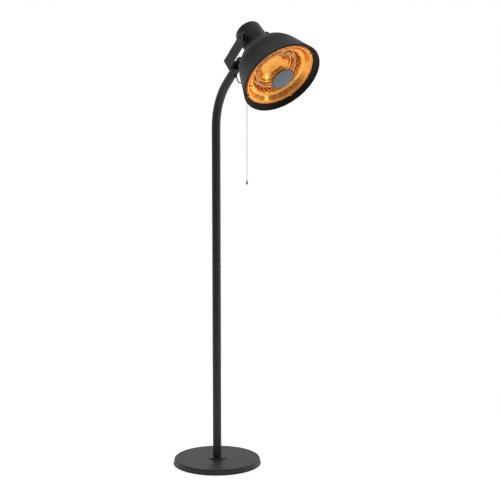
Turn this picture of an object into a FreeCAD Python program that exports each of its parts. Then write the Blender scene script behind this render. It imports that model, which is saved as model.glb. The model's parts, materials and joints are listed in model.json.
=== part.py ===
import FreeCAD
import Part
import math
import os

# A free-standing electric patio heater: weighted base, two-piece pole with a bent neck, fork, tilting head.
# Frame: mm, +Z up, origin on the floor under the pole, the head leans out towards -Y, symmetry plane X = 0.

V = FreeCAD.Vector
os.makedirs("parts", exist_ok=True)

# ---- clearances ----
gap = 0.3            # between pieces that move past each other
slip = 0.1           # radial play of a piece slid into another of the same body
running = 0.05       # radial play of a shaft that turns or slides in its hole

# ---- base ----
coverR = 191.5       # cover, where its side meets the rounded top edge
hemFlare = 4.5       # how far the hem stands out beyond the cover's side
hemLip = 2.0         # flat edge of the hem
hemZ = 1.5           # hem above the floor
coverTop = 25.0
coverEdge = 6.0
coverWall = 1.5
footHeight = 3.5
footR = 12.0
footInset = 26.0     # feet, in from the plate's edge
plateThick = 1.5
plateMargin = 4.0    # plate edge inside the cover
weightThick = 14.0
weightMargin = 5.0
flangeR = 38.0
flangeThick = 4.0
hubR = 33.0
boltR = 4.0
boltRing = 25.5
boltHeadR = 6.5
boltHeadHeight = 5.0
cableBore = 11.0     # radius of the cable's way through the flange
plateScrewR = 2.0
plateScrewInset = 51.0
plateScrewHead = 1.5
slotWidth = 16.0     # cable slot in the weight

# ---- pole and neck ----
poleR = 19.0
poleWall = 1.5
seamZ = 634.0        # where the two pole tubes meet
seamRing = 1.6       # thin collar between the tubes
seamRingInset = 0.6  # its groove below the tubes' surface
spigotLength = 38.0
sleeveLength = 130.0
sleeveWall = 2.0
sleeveScrewR = 2.5
bendZ = 1500.0       # start of the neck's bend
bendR = 270.0
bendAngle = 46.0
neckEnd = 140.0      # straight length past the bend
plugDepth = 12.0
plugHead = 3.0
cableR = 2.5
baseTurn = 24.0      # turn of the supply cable from the base into the pole
cableTurn = 14.0     # tight turn of the supply cable into the neck's gland
glandAlong = 66.0    # gland, along the straight end of the neck
glandR = 5.5
cordGlandR = 6.5     # collar of the base's gland
glandNutR = 7.5
glandNutThick = 4.0
glandLength = 8.0

# ---- fork and clamp ----
pivotAlong = 275.0   # tilt axis, along the neck's straight end
webAlong = 107.0     # fork's web
forkThick = 3.0
armGap = 2.6         # drum's side to the arm's inner face
forkWidth = 50.0
foldR = 3.0          # inside radius of the fork's folds
collarWall = 2.5
collarLength = 10.0
studR = 4.0
studIn = 26.0        # from the knob's back towards the drum
studDepth = 7.0      # inside the knob
washerThick = 1.0
washerR = 12.0
knobR = 16.0
knobThick = 11.0
knobFlutes = 12
knobFluteR = 2.6

# ---- head ----
headTilt = 38.5      # head's axis below the horizontal
axisDrop = 12.0      # head's axis below the tilt axis
drumR = 57.0
drumWall = 1.2
drumRear = -59.0     # along the head's axis, from abreast of the tilt axis
drumFront = 52.1
drumEdge = 9.0
drumFlange = 11.8    # width of the inner flange that meets the shade
flangeWall = 2.0
bossR = 12.0
bossDepth = 18.0
domeR = 150.0
skirtAngle = 17.0
rimR = 172.8
domeWall = 1.2
beadR = 2.2
domeHoleR = 22.0
lipWidth = 13.8      # from the rim in to the lip's flat flange
lipFlange = 6.0
lipDepth = 19.0      # flat flange behind the rim
lipWall = 1.2
reflectorWall = 0.8
landInset = 33.0     # middle of the reflector's flat step, in from the lip's opening
landWidth = 14.0
landDepth = 38.0     # behind the rim, as the next depths are
grooveInset = 32.0   # groove under the ring lamp, in from the step
grooveWidth = 26.0
grooveDepth = 66.0
bowlInset = 44.0     # flat middle, in from the groove
bowlDepth = 92.0
lampTubeR = 6.0
lampTubeWall = 1.2
lampRise = 13.0      # ring lamp's axis in front of the groove
lampGap = 30.0       # degrees left open at the top of the ring lamp
lampEndR = 8.0
lampEndLength = 14.0
filamentR = 2.0
clipThick = 1.0
clipWidth = 8.0
clipPlay = 0.3       # lamp clip round the ring lamp
clipFoot = 4.0
leadR = 1.5
postR = 4.0
screwR = 1.5
guardInset = 5.5     # outer wire, in from the lip's opening
guardWire = 2.0
spokeWire = 1.0
hoopInset = 17.5     # outermost thin hoop, in from the outer wire
hoopStep = 14.0
guardSpokes = 24
guardBulge = 4.0
clipWall = 1.2
hubWireR = 42.0
hubRise = 4.5        # inner wire in front of the rim
capR = 50.0
capThick = 2.0
capDome = 2.2
capGrip = 1.0        # screw's hold in the cap
backThick = 1.5
capScrewR = 2.0
capScrewHeadR = 6.0
capScrewHead = 2.5

bracketThick = 1.5
blockDepth = 17.0    # terminal block
blockHalf = 20.0
blockLow, blockHigh = 24.0, 40.0

# ---- pull switch ----
switchS = -6.0       # along the head's axis
switchSize = (26.0, 24.0, 22.0)
rodR = 1.5
eyeletR = 6.0
eyeletLip = 2.5      # eyelet's collar outside the drum
rodBelow = 4.0       # rod showing under the eyelet
ringR = 3.2
ringWire = 0.8
cordR = 1.0
bellTop = 1289.0
bellHeight = 17.0
bellR = 4.8

# ---- short cable from the neck to the head ----
headGlandX = 20.0
headGlandS = 12.0


# ---- shapes ----
def cyl(r, length, base=(0, 0, 0), way=(0, 0, 1)):
    return Part.makeCylinder(r, length, V(*base), V(*way))


def tube(outer, inner, length, base=(0, 0, 0), way=(0, 0, 1)):
    return cyl(outer, length, base, way).cut(cyl(inner, length, base, way))


def block(low, high):
    size = [b - a for a, b in zip(low, high)]
    return Part.makeBox(*size, V(*low))


def polar(r, degrees, z=0.0):
    a = math.radians(degrees)
    return (r * math.cos(a), r * math.sin(a), z)


def spin(*steps):
    # solid turned about Z; a step is a point (r, z), or an arc given as (middle, end)
    edges = []
    here = V(steps[0][0], 0, steps[0][1])
    for step in steps[1:] + steps[:1]:
        if isinstance(step[0], tuple):
            middle, end = V(step[0][0], 0, step[0][1]), V(step[1][0], 0, step[1][1])
            edges.append(Part.Arc(here, middle, end).toShape())
        else:
            end = V(step[0], 0, step[1])
            edges.append(Part.LineSegment(here, end).toShape())
        here = end
    return Part.Face(Part.Wire(edges)).revolve(V(0, 0, 0), V(0, 0, 1), 360)


def corner(centreR, centreZ, r, fromDegrees, toDegrees):
    # arc step for spin: its middle and its end, angles counted from outward
    def at(degrees):
        a = math.radians(degrees)
        return (centreR + r * math.cos(a), centreZ + r * math.sin(a))
    return (at((fromDegrees + toDegrees) / 2), at(toDegrees))


def hoop(r, wire, z=0.0):
    return Part.makeTorus(r, wire, V(0, 0, z))


def around(shape, count, first=0.0):
    # copies of one shape turned about Z
    copies = []
    for i in range(count):
        copy = shape.copy()
        copy.rotate(V(0, 0, 0), V(0, 0, 1), first + 360.0 * i / count)
        copies.append(copy)
    return copies


def hexagon(across, length, base, way):
    # hexagonal prism, across its corners
    points = [V(*polar(across, 60 * i)) for i in range(7)]
    prism = Part.Face(Part.makePolygon(points)).extrude(V(0, 0, length))
    prism.Placement = FreeCAD.Placement(V(*base), FreeCAD.Rotation(V(0, 0, 1), V(*way)))
    return prism


def hose(points, r):
    # tube along straight runs joined by tangent arcs
    pts = [V(*p) for p in points]
    edges = []
    radii = []
    here = pts[0]
    for a, b, c in zip(pts, pts[1:], pts[2:]):
        u, w = (b - a), (c - b)
        short = min(u.Length, w.Length)
        u.normalize()
        w.normalize()
        half = u.getAngle(w) / 2
        reach = 0.45 * short
        radius = reach / math.tan(half)
        radii.append(round(radius, 1))
        start, end = b - u * reach, b + w * reach
        inward = w - u
        inward.normalize()
        middle = b + inward * (radius / math.cos(half) - radius)
        edges.append(Part.LineSegment(here, start).toShape())
        edges.append(Part.Arc(start, middle, end).toShape())
        here = end
    edges.append(Part.LineSegment(here, pts[-1]).toShape())
    path = Part.Wire(edges)
    way = pts[1] - pts[0]
    section = Part.Wire(Part.makeCircle(r, pts[0], way))
    solid = path.makePipeShell([section], True, True)
    print("tube length", round(path.Length, 1), "volume ratio",
          round(solid.Volume / (math.pi * r * r * path.Length), 4), "radii", radii)
    return solid


# ---- sizes that follow from the ones above ----
hemR = coverR + hemFlare
plateR = coverR - coverWall - plateMargin
weightR = coverR - coverWall - weightMargin
footRing = plateR - footInset
plateScrewRing = plateR - plateScrewInset
seamRingR = poleR - seamRingInset
boreR = poleR - poleWall
forkInside = drumR + armGap
skirt = math.radians(skirtAngle)
seatS = drumFront
domeC = seatS + math.sqrt(domeR ** 2 - drumR ** 2)
rimS = domeC - domeR * math.sin(skirt) + (rimR - domeR * math.cos(skirt)) / math.tan(skirt)
lipSeatR = rimR - lipWidth
lipInnerR = lipSeatR - lipFlange
lipBack = rimS - lipDepth
landR = lipInnerR - landInset
landS = rimS - landDepth
grooveR = landR - grooveInset
grooveS = rimS - grooveDepth
bowlR = grooveR - bowlInset
bowlS = rimS - bowlDepth
lampS = grooveS + lampRise
guardR = lipInnerR - guardInset
hubS = rimS + hubRise
leadOut = grooveR * math.sin(math.radians(lampGap / 2)) - 0.7 * lampEndLength
leadX = (-leadOut, leadOut)
hoopCount = int((guardR - hoopInset - hubWireR - guardWire) / hoopStep)
guardHoops = [guardR - hoopInset - hoopStep * i for i in range(hoopCount)]


# ---- frames ----
bend = math.radians(bendAngle)
bendEnd = V(0, -bendR * (1 - math.cos(bend)), bendZ + bendR * math.sin(bend))
neckWay = V(0, -math.sin(bend), math.cos(bend))
neckBack = V(0, math.cos(bend), math.sin(bend))
pivot = bendEnd + neckWay * pivotAlong
tilt = math.radians(headTilt)
headWay = V(0, -math.cos(tilt), -math.sin(tilt))
headUp = V(0, -math.sin(tilt), math.cos(tilt))
headOrigin = pivot - headUp * axisDrop


def onNeck(shape):
    # from (x, behind the neck, along the neck) to the object's frame
    placed = shape.copy()
    frame = FreeCAD.Placement(bendEnd, FreeCAD.Rotation(V(1, 0, 0), bendAngle))
    placed.Placement = frame.multiply(placed.Placement)
    return placed


def onHead(shape):
    # from (x, up across the head's axis, along the head's axis) to the object's frame
    placed = shape.copy()
    frame = FreeCAD.Placement(headOrigin, FreeCAD.Rotation(V(1, 0, 0), 90 + headTilt))
    placed.Placement = frame.multiply(placed.Placement)
    return placed


def headPoint(x, up, along):
    return headOrigin + V(x, 0, 0) + headUp * up + headWay * along


def neckPoint(x, back, along):
    return bendEnd + V(x, 0, 0) + neckBack * back + neckWay * along


def keep(name, shapes):
    if not isinstance(shapes, list):
        shapes = [shapes]
    shape = shapes[0] if len(shapes) == 1 else Part.makeCompound(shapes)
    shape.exportStep("parts/" + name + ".step")
    print(name, "solids", len(shape.Solids), "valid", shape.isValid(), "cm3", round(shape.Volume / 1000, 2))


# ---- base ----
plateZ = footHeight
weightZ = plateZ + plateThick
weightTop = weightZ + weightThick
underCover = coverTop - coverWall
flangeTop = coverTop + flangeThick
boltAngles = (30, 150, 270)
bolts = [polar(boltRing, a) for a in boltAngles]
plateScrews = [polar(plateScrewRing, 60 * i + 15) for i in range(6)]
switchPocket = ((-112.0, 30.0), (-76.0, 62.0))
supplyZ = weightZ + weightThick / 2
skirtFoot = hemZ + 4.5


def baseCover():
    inner = coverR - coverEdge
    shell = spin(
        (0, coverTop), (inner, coverTop), corner(inner, coverTop - coverEdge, coverEdge, 90, 0),
        (coverR + 1, skirtFoot), (hemR, hemZ + 1), (hemR, hemZ), (hemR - hemLip, hemZ),
        (coverR + 1 - coverWall, skirtFoot + 0.4), (coverR - coverWall, coverTop - coverEdge),
        corner(inner, coverTop - coverEdge, coverEdge - coverWall, 0, 90), (0, underCover))
    shell = shell.cut(cyl(hubR + slip, coverTop))
    return shell.cut(cyl(glandR, 30, (0, weightR, supplyZ), (0, 1, 0)))


def baseWeight():
    disc = cyl(weightR, weightThick, (0, 0, weightZ))
    disc = disc.cut(cyl(slotWidth / 2 + 4, weightThick, (0, 0, weightZ)))
    disc = disc.cut(block((-slotWidth / 2, 0, weightZ), (slotWidth / 2, weightR, weightTop)))
    for x, y, z in bolts:
        disc = disc.cut(cyl(boltHeadR + slip, boltHeadHeight, (x, y, weightZ)))
        disc = disc.cut(cyl(boltR + slip, weightThick, (x, y, weightZ)))
    for x, y, z in plateScrews:
        disc = disc.cut(cyl(plateScrewR, weightThick - 4, (x, y, weightZ)))
    (x0, y0), (x1, y1) = switchPocket
    return disc.cut(block((x0, y0, weightZ), (x1, y1, weightTop)))


def basePlate():
    plate = cyl(plateR, plateThick, (0, 0, plateZ))
    for x, y, z in bolts:
        plate = plate.cut(cyl(boltHeadR + 1, plateThick, (x, y, plateZ)))
    for x, y, z in plateScrews:
        plate = plate.cut(cyl(plateScrewR + slip, plateThick, (x, y, plateZ)))
    return plate


def flange():
    body = spin(
        (cableBore, weightTop), (hubR, weightTop), (hubR, coverTop), (flangeR, coverTop),
        (flangeR, flangeTop - 2), corner(flangeR - 2, flangeTop - 2, 2, 0, 90),
        (boreR - slip, flangeTop), (boreR - slip, flangeTop + spigotLength),
        (cableBore, flangeTop + spigotLength))
    for x, y, z in bolts:
        body = body.cut(cyl(boltR, flangeTop - 2 - weightTop, (x, y, weightTop)))
    return body


def boltShape():
    x, y, z = polar(boltRing, 0)
    head = hexagon(boltHeadR, boltHeadHeight, (x, y, weightZ), (0, 0, 1))
    return head.fuse(cyl(boltR, flangeTop - 3 - weightZ, (x, y, weightZ)))


def foot(out):
    disc = spin((0, 0), (footR - 1, 0), (footR, 1), (footR, footHeight), (0, footHeight))
    disc.translate(V(out, 0, 0))
    return disc


keep("base_cover", baseCover())
keep("base_weight", baseWeight())
keep("base_plate", basePlate())
keep("rubber_feet", around(foot(footRing), 6, 45) + [foot(0)])
keep("pole_flange", flange())
keep("flange_bolts", [around(boltShape(), 1, a)[0] for a in boltAngles])
keep("plate_screws", [cyl(plateScrewR, weightThick - 6, (x, y, plateZ)).fuse(
    cyl(plateScrewR * 1.9, plateScrewHead, (x, y, plateZ - plateScrewHead))) for x, y, z in plateScrews])
keep("tip_switch", block(
    (switchPocket[0][0] + 1, switchPocket[0][1] + 1, weightZ),
    (switchPocket[1][0] - 1, switchPocket[1][1] - 1, weightTop - 1)))


def cordGland():
    # collar, tapered snout and a threaded shank that passes through the cover
    shank = glandR - slip
    body = spin((cableR + slip, -8), (shank, -8), (shank, 0), (cordGlandR, 0), (cordGlandR, 2.5),
                (glandR, 2.5), (glandR - 1.2, 10), (cableR + slip, 10))
    body.Placement = FreeCAD.Placement(V(0, coverR + 2.2, supplyZ), FreeCAD.Rotation(V(0, 0, 1), V(0, 1, 0)))
    return body


keep("cord_gland", cordGland())
keep("cord_gland_nut", tube(cordGlandR, glandR, 3.5, (0, coverR - coverWall - 4.5, supplyZ), (0, 1, 0)))


# ---- pole ----
def lowerTube():
    body = tube(poleR, boreR, seamZ - flangeTop, (0, 0, flangeTop))
    for z in sleeveScrewZ[:1]:
        body = body.cut(cyl(sleeveScrewR, poleR + 1, (0, 0, z), (0, 1, 0)))
    return body


sleeveScrewZ = (seamZ - sleeveLength / 3, seamZ + sleeveLength / 3)
upperStart = seamZ + seamRing


def neckPath(r):
    # solid of radius r along the upper tube: upright, bend and straight end
    upright = cyl(r, bendZ - upperStart, (0, 0, upperStart))
    disc = Part.Face(Part.Wire(Part.makeCircle(r, V(0, 0, bendZ), V(0, 0, 1))))
    bent = disc.revolve(V(0, -bendR, bendZ), V(1, 0, 0), bendAngle)
    straight = onNeck(cyl(r, neckEnd))
    return upright.fuse(bent).fuse(straight).removeSplitter()


def upperTube():
    body = neckPath(poleR).cut(neckPath(boreR))
    body = body.cut(cyl(sleeveScrewR, poleR + 1, (0, 0, sleeveScrewZ[1]), (0, 1, 0)))
    return body.cut(onNeck(cyl(glandR - 1, poleR, (0, 0, glandAlong), (0, -1, 0))))


def sleeve():
    outer = boreR - slip
    body = cyl(outer, sleeveLength, (0, 0, seamZ - sleeveLength / 2))
    body = body.fuse(cyl(seamRingR, seamRing, (0, 0, seamZ)))
    body = body.cut(cyl(outer - sleeveWall, sleeveLength, (0, 0, seamZ - sleeveLength / 2)))
    for z in sleeveScrewZ:
        body = body.cut(cyl(sleeveScrewR, poleR, (0, 0, z), (0, 1, 0)))
    return body


keep("lower_tube", lowerTube())
keep("upper_tube", upperTube())
keep("coupling_sleeve", sleeve())
keep("sleeve_screws", [cyl(sleeveScrewR, 6, (0, poleR - 5.8, z), (0, 1, 0)).fuse(
    cyl(sleeveScrewR * 1.8, 2.2, (0, poleR, z), (0, 1, 0))) for z in sleeveScrewZ])
keep("neck_plug", onNeck(spin(
    (0, neckEnd - plugDepth), (boreR - slip, neckEnd - plugDepth), (boreR - slip, neckEnd),
    (poleR, neckEnd), corner(poleR - plugHead, neckEnd, plugHead, 0, 90), (0, neckEnd + plugHead))))


def supplyCable():
    # from the base's gland, up the pole and round to the neck's gland
    inner = baseTurn
    start = V(0, coverR - 8, supplyZ)
    edges = [Part.LineSegment(start, V(0, inner, supplyZ)).toShape()]
    q = inner * (1 - math.sqrt(0.5))
    edges.append(Part.Arc(V(0, inner, supplyZ), V(0, q, supplyZ + q), V(0, 0, supplyZ + inner)).toShape())
    edges.append(Part.LineSegment(V(0, 0, supplyZ + inner), V(0, 0, bendZ)).toShape())
    half = bend / 2
    bendMiddle = V(0, -bendR * (1 - math.cos(half)), bendZ + bendR * math.sin(half))
    edges.append(Part.Arc(V(0, 0, bendZ), bendMiddle, bendEnd).toShape())
    turnStart = glandAlong - cableTurn
    k = cableTurn * math.sqrt(0.5)
    edges.append(Part.LineSegment(bendEnd, neckPoint(0, 0, turnStart)).toShape())
    edges.append(Part.Arc(neckPoint(0, 0, turnStart), neckPoint(0, k - cableTurn, turnStart + k),
                          neckPoint(0, -cableTurn, glandAlong)).toShape())
    edges.append(Part.LineSegment(neckPoint(0, -cableTurn, glandAlong),
                                  neckPoint(0, -poleR + 1, glandAlong)).toShape())
    path = Part.Wire(edges)
    solid = path.makePipeShell([Part.Wire(Part.makeCircle(cableR, start, V(0, -1, 0)))], True, True)
    print("supply cable", round(path.Length), round(solid.Volume / (math.pi * cableR ** 2 * path.Length), 4))
    return solid


keep("supply_cable", supplyCable())


def gland(base, way):
    # hexagonal foot, short barrel and rounded mouth
    barrel = cyl(glandR, glandLength, base, way)
    mouth = [e for e in barrel.Edges
             if len(e.Vertexes) == 1 and (e.CenterOfMass - V(*base)).Length > glandLength / 2]
    barrel = barrel.makeFillet(1.5, mouth[:1])
    return hexagon(glandNutR, glandNutThick, base, way).fuse(barrel)


keep("neck_gland", onNeck(gland((0, -poleR, glandAlong), (0, -1, 0)).fuse(
    cyl(glandR - 1.1, 1.0, (0, -poleR + 1, glandAlong), (0, -1, 0)))))


# ---- fork ----
def alongX(edge, z, x):
    # true for the fold edge at height z and distance x either side of the symmetry plane
    middle = edge.CenterOfMass
    return abs(middle.z - z) < 0.01 and abs(abs(middle.x) - x) < 0.01


def fork():
    outside = forkInside + forkThick
    half = forkWidth / 2
    arm = block((forkInside, -half, webAlong), (outside, half, pivotAlong))
    arm = arm.fuse(cyl(half, forkThick, (forkInside, 0, pivotAlong), (1, 0, 0)))
    arm = arm.cut(cyl(studR + running, forkThick, (forkInside, 0, pivotAlong), (1, 0, 0)))
    web = block((-outside, -half, webAlong), (outside, half, webAlong + forkThick))
    body = web.fuse(arm).fuse(arm.mirror(V(0, 0, 0), V(1, 0, 0))).removeSplitter()
    outer = [e for e in body.Edges if alongX(e, webAlong, outside)]
    body = body.makeFillet(foldR + forkThick, outer)
    inner = [e for e in body.Edges if alongX(e, webAlong + forkThick, forkInside)]
    body = body.makeFillet(foldR, inner)
    return body.cut(cyl(poleR + slip, 20, (0, 0, webAlong - 5)))


keep("fork", onNeck(fork()))
keep("fork_collar", onNeck(tube(
    poleR + collarWall, poleR + slip, collarLength, (0, 0, webAlong - collarLength))))


# ---- clamp knobs: head frame, tilt axis along X at (axisDrop, 0) ----
bossFace = forkInside - gap - washerThick
knobBack = forkInside + forkThick + gap


def sided(shape, side):
    return shape if side > 0 else shape.mirror(V(0, 0, 0), V(1, 0, 0))


def knob():
    body = cyl(knobR, knobThick, (0, 0, 0))
    body = body.makeFillet(2.0, [body.Edges[0]])
    for x, y, z in [polar(knobR + 1, 360 * i / knobFlutes) for i in range(knobFlutes)]:
        body = body.cut(cyl(knobFluteR, knobThick, (x, y, 0)))
    body = body.cut(tube(knobR - 5, knobR - 8, 1.5, (0, 0, knobThick - 1.5)))
    body = body.cut(cyl(studR + slip, studDepth, (0, 0, 0)))
    body.Placement = FreeCAD.Placement(V(knobBack, axisDrop, 0), FreeCAD.Rotation(V(0, 1, 0), 90))
    return body


def stud():
    return cyl(studR, studIn + studDepth, (knobBack - studIn, axisDrop, 0), (1, 0, 0))


def boss():
    body = cyl(bossR, bossDepth, (bossFace - bossDepth, axisDrop, 0), (1, 0, 0))
    return body.cut(cyl(studR + running, bossDepth, (bossFace - bossDepth, axisDrop, 0), (1, 0, 0)))


for side, word in ((1, "right"), (-1, "left")):
    keep("knob_" + word, onHead(sided(knob(), side)))
    keep("knob_stud_" + word, onHead(sided(stud(), side)))
    keep("pivot_boss_" + word, onHead(sided(boss(), side)))
    keep("friction_washer_" + word, onHead(sided(
        tube(washerR, studR + 4 * running, washerThick, (bossFace, axisDrop, 0), (1, 0, 0)), side)))

# ---- drum and shade ----
insideR = domeR - domeWall
drumInside = drumR - drumWall


def drum():
    rear = drumRear
    body = spin(
        (0, rear), (drumR - drumEdge, rear), corner(drumR - drumEdge, rear + drumEdge, drumEdge, -90, 0),
        (drumR, seatS), (drumR - drumFlange, seatS), (drumR - drumFlange, seatS - flangeWall),
        (drumInside, seatS - flangeWall), (drumInside, rear + drumEdge),
        corner(drumR - drumEdge, rear + drumEdge, drumEdge - drumWall, 0, -90),
        (0, rear + drumWall))
    body.rotate(V(0, 0, 0), V(0, 0, 1), 90)
    for sign in (-1, 1):
        body = body.cut(cyl(bossR + slip, bossFace, (0, axisDrop, 0), (sign, 0, 0)))
    body = body.cut(cyl(eyeletR - 2, 20, (0, -drumR - 5, switchS), (0, 1, 0)))
    body = body.cut(cyl(glandR, 30, (headGlandX, -drumR - 5, headGlandS), (0, 1, 0)))
    for x, y, z in drumScrews:
        body = body.cut(cyl(screwR, 4, (x, y, seatS - 3)))
    return body


drumScrews = [polar(drumR - drumFlange / 2, a) for a in (30, 150, 210, 330)]


def dome():
    touch = (domeR * math.cos(skirt), domeC - domeR * math.sin(skirt))
    touchIn = (insideR * math.cos(skirt), domeC - insideR * math.sin(skirt))
    startAngle = math.degrees(math.atan2(seatS - domeC, drumR))
    seatIn = seatS + domeWall
    inR = math.sqrt(insideR ** 2 - (domeC - seatIn) ** 2)
    endAngle = math.degrees(math.atan2(seatIn - domeC, inR))
    rimIn = rimR - domeWall / math.cos(skirt)
    body = spin(
        (domeHoleR, seatS), (drumR, seatS), corner(0, domeC, domeR, startAngle, -skirtAngle),
        (rimR, rimS), (rimIn, rimS), touchIn,
        corner(0, domeC, insideR, -skirtAngle, endAngle), (domeHoleR, seatIn))
    body = body.fuse(hoop(rimR, beadR, rimS - beadR / 2))
    for x, y, z in drumScrews:
        body = body.cut(cyl(screwR + slip, 5, (x, y, seatS - 1)))
    return body


def domeInner(s):
    # inside radius of the shade's skirt
    return rimR - (rimS - s) * math.tan(skirt) - domeWall / math.cos(skirt)


def lip():
    front = rimS - beadR - 1.0
    outer = domeInner(front) - 2 * slip
    body = spin((lipInnerR, lipBack), (lipSeatR, lipBack), (outer, front), (outer - 1.6, front + 0.8),
                (lipSeatR - 0.6, lipBack + lipWall), (lipInnerR, lipBack + lipWall))
    for x, y, z in clipScrews:
        body = body.cut(cyl(screwR, 4, (x, y, lipBack - 1)))
    return body


clipAngles = (45, 135, 225, 315)
clipScrewR = (lipInnerR + lipSeatR) / 2
clipScrews = [polar(clipScrewR, a) for a in clipAngles]
posts = [polar(landR, a) for a in (-23, 97, 217)]


def reflectorFace(back):
    # outline of the bowl's front face, shifted back along the axis
    inner, outer = landR - landWidth / 2, landR + landWidth / 2
    near, far = grooveR - grooveWidth / 2, grooveR + grooveWidth / 2
    front = [(lipSeatR - 1, lipBack), (lipSeatR - 15, lipBack), ((outer + 6, landS + 8), (outer, landS)),
             (inner, landS), ((far + 4, grooveS + 12), (far, grooveS)), (near, grooveS),
             ((near - 5, grooveS - 9), (near - 12, grooveS - 13)), (bowlR, bowlS), (0, bowlS)]
    shifted = []
    for step in front:
        if isinstance(step[0], tuple):
            shifted.append(tuple((r, s - back) for r, s in step))
        else:
            shifted.append((step[0], step[1] - back))
    return shifted


def reflector():
    front = reflectorFace(0.0)
    solidFront = spin(*front, (0, 0), (lipSeatR - 1, 0))
    backFace = reflectorFace(reflectorWall)
    solidBack = spin(*backFace, (0, -1), (lipSeatR - 1, -1))
    body = solidFront.cut(solidBack)
    for x, y, z in posts:
        body = body.cut(cyl(screwR + slip, 10, (x, y, landS - 5)))
    for x, y, z in clipScrews:
        body = body.cut(cyl(screwR + slip, 10, (x, y, lipBack - 5)))
    for x in leadX:
        body = body.cut(cyl(leadR + 1, 10, (x, grooveR - 2, grooveS - 5)))
    return body


keep("rear_drum", onHead(drum()))
keep("shade", onHead(dome()))
keep("lip_ring", onHead(lip()))
keep("reflector", onHead(reflector()))


def panHead(x, y, s, length, r=screwR):
    # screw with its head in front of s and its shank behind it
    head = cyl(r * 2, r * 1.4, (x, y, s))
    return head.fuse(cyl(r, length, (x, y, s - length)))


keep("drum_screws", [onHead(panHead(x, y, seatS + domeWall, domeWall + 3)) for x, y, z in drumScrews])
keep("reflector_screws", [onHead(panHead(x, y, landS, 10)) for x, y, z in posts])


def post(x, y):
    ball = Part.makeSphere(insideR, V(0, 0, domeC))
    rod = cyl(postR, landS - reflectorWall - 40, (x, y, 40)).common(ball)
    return rod.cut(cyl(screwR, 12, (x, y, landS - 12)))


keep("reflector_posts", [onHead(post(x, y)) for x, y, z in posts])

# ---- ring lamp ----
lampFrom = 90 + lampGap / 2
lampSweep = 360 - lampGap


def arcRod(r, wire, s, sweep, first):
    # part of a ring with a round section
    centre = V(r, 0, s)
    disc = Part.Face(Part.Wire(Part.makeCircle(wire, centre, V(0, 1, 0))))
    rod = disc.revolve(V(0, 0, s), V(0, 0, 1), sweep)
    rod.rotate(V(0, 0, 0), V(0, 0, 1), first)
    return rod


def lampTube():
    return arcRod(grooveR, lampTubeR, lampS, lampSweep, lampFrom).cut(
        arcRod(grooveR, lampTubeR - lampTubeWall, lampS, lampSweep, lampFrom))


def lampEnd(sign):
    # ceramic cap that carries on along the tube's tangent
    x, y, z = polar(grooveR, 90 + sign * lampGap / 2, lampS)
    a = math.radians(lampGap / 2)
    way = (sign * math.cos(a), sign * math.sin(a) * sign, 0)
    return cyl(lampEndR, lampEndLength, (x, y, z), way)


def lampClip(angle):
    half = clipWidth / 2
    bore = lampTubeR + clipPlay
    start = (grooveR, -half, lampS)
    band = tube(bore + clipThick, bore, clipWidth, start, (0, 1, 0))
    top = lampS - bore - clipThick / 2
    foot = block((grooveR - clipFoot / 2, -half, grooveS), (grooveR + clipFoot / 2, half, top))
    body = band.fuse(foot.cut(cyl(bore, clipWidth, start, (0, 1, 0))))
    body.rotate(V(0, 0, 0), V(0, 0, 1), angle)
    return body


keep("lamp_tube", onHead(lampTube()))
keep("lamp_filament", onHead(arcRod(grooveR, filamentR, lampS, lampSweep, lampFrom)))
keep("lamp_ends", [onHead(lampEnd(1)), onHead(lampEnd(-1))])
keep("lamp_clips", [onHead(lampClip(a)) for a in (-43, 185, 270)])

# ---- guard and cap ----
guardS = lipBack + guardWire


def guardLine(r):
    # height of the wires at radius r: a straight slope plus a shallow bulge
    part = (r - hubWireR) / (guardR - hubWireR)
    return hubS + (guardS - hubS) * part + guardBulge * 4 * part * (1 - part)


def spoke():
    middle = (hubWireR + guardR) / 2
    arc = Part.Arc(V(hubWireR, 0, hubS), V(middle, 0, guardLine(middle)), V(guardR, 0, guardS)).toShape()
    way = arc.tangentAt(arc.FirstParameter)
    circle = Part.Wire(Part.makeCircle(spokeWire, V(hubWireR, 0, hubS), way))
    return Part.Wire([arc]).makePipeShell([circle], True, True)


def guard():
    rings = [hoop(guardR, guardWire, guardS), hoop(hubWireR, guardWire, hubS)]
    rings += [hoop(r, spokeWire, guardLine(r) + spokeWire * 1.2) for r in guardHoops]
    spokes = around(spoke(), guardSpokes)
    return rings[0].multiFuse(rings[1:] + spokes)


def guardClip(angle):
    step = guardS + guardWire
    low = lipBack + lipWall
    inner = guardR + guardWire + gap
    body = block((inner, -5, low), (lipSeatR - 0.8, 5, low + clipWall))
    riser = block((inner, -5, low), (inner + clipWall, 5, step + clipWall))
    tongue = block((guardR - 1, -5, step), (inner + clipWall, 5, step + clipWall))
    body = body.fuse(riser).fuse(tongue)
    body = body.cut(cyl(screwR + slip, 6, (clipScrewR, 0, lipBack)))
    body.rotate(V(0, 0, 0), V(0, 0, 1), angle)
    return body


keep("guard", onHead(guard()))
keep("guard_clips", [onHead(guardClip(a)) for a in clipAngles])
keep("clip_screws", [onHead(panHead(x, y, lipBack + lipWall + clipWall, 5)) for x, y, z in clipScrews])

capBack = hubS + guardWire


def cap():
    rise = capDome
    ball = (capR ** 2 + rise ** 2) / (2 * rise)
    top = capBack + capThick + rise
    middle = (capR - 1) / 2
    return spin((0, capBack), (capR, capBack), (capR, capBack + capThick),
                ((middle, top - ball + math.sqrt(ball ** 2 - middle ** 2)), (0, top)))


def capScrew():
    under = hubS - guardWire - backThick
    head = cyl(capScrewHeadR, capScrewHead, (0, 0, under - capScrewHead))
    return head.fuse(cyl(capScrewR, capBack + capGrip - under, (0, 0, under)))


keep("centre_cap", onHead(cap().cut(cyl(capScrewR, capGrip, (0, 0, capBack)))))
keep("cap_backplate", onHead(tube(
    hubWireR + guardWire, capScrewR, backThick, (0, 0, hubS - guardWire - backThick))))
keep("cap_screw", onHead(capScrew()))

# ---- wiring in the head ----
blockS = seatS - flangeWall - bracketThick


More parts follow.
